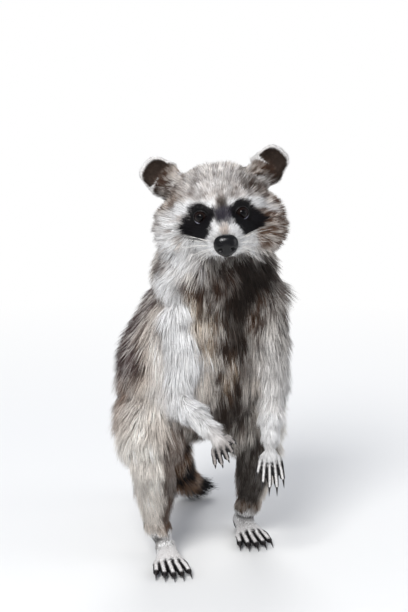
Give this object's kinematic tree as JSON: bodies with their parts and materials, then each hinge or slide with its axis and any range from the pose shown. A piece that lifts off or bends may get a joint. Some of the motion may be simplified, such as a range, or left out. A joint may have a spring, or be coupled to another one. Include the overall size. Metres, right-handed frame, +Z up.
{
  "type": "raccoon model",
  "caption": "Still life-size model of a raccoon standing upright on its hind legs, one forearm held forward and the other arm hanging, its tail resting on the floor behind.",
  "frame": {"origin": "on the floor, under the middle of the whole animal's bounding box", "axes": "+Z up; the animal faces -Y; +X is its own left"},
  "size_m": [0.2214, 0.3434, 0.5024],
  "materials": {
    "fur_grizzled": "long soft grizzled fur of grey, cream and brown hairs",
    "fur_pale": "pale cream to white fur with grey-brown flecks",
    "fur_brown": "brown fur with rusty tips",
    "fur_dark": "short blackish fur",
    "eye": "wet dark brown eye",
    "nose": "moist black pebbled skin",
    "claw": "dark horn"
  },
  "bodies": {
    "root": {"eye_right": "eye", "eye_left": "eye", "nose": "nose", "head": "fur_pale", "ear_right": "fur_dark", "ear_left": "fur_dark", "neck": "fur_grizzled", "trunk": "fur_grizzled", "tail_root": "fur_brown", "tail_end": "fur_dark", "upper_arm_right": "fur_grizzled", "forearm_right": "fur_pale", "forepaw_right": "fur_pale", "thigh_right": "fur_grizzled", "shank_right": "fur_brown", "hindpaw_right": "fur_pale", "fore_claw_right_1": "claw", "hind_claw_right_1": "claw", "fore_claw_right_2": "claw", "hind_claw_right_2": "claw", "fore_claw_right_3": "claw", "hind_claw_right_3": "claw", "fore_claw_right_4": "claw", "hind_claw_right_4": "claw", "fore_claw_right_5": "claw", "hind_claw_right_5": "claw", "upper_arm_left": "fur_grizzled", "forearm_left": "fur_pale", "forepaw_left": "fur_pale", "thigh_left": "fur_grizzled", "shank_left": "fur_brown", "hindpaw_left": "fur_pale", "fore_claw_left_1": "claw", "hind_claw_left_1": "claw", "fore_claw_left_2": "claw", "hind_claw_left_2": "claw", "fore_claw_left_3": "claw", "hind_claw_left_3": "claw", "fore_claw_left_4": "claw", "hind_claw_left_4": "claw", "fore_claw_left_5": "claw", "hind_claw_left_5": "claw"}
  },
  "joints": []
}
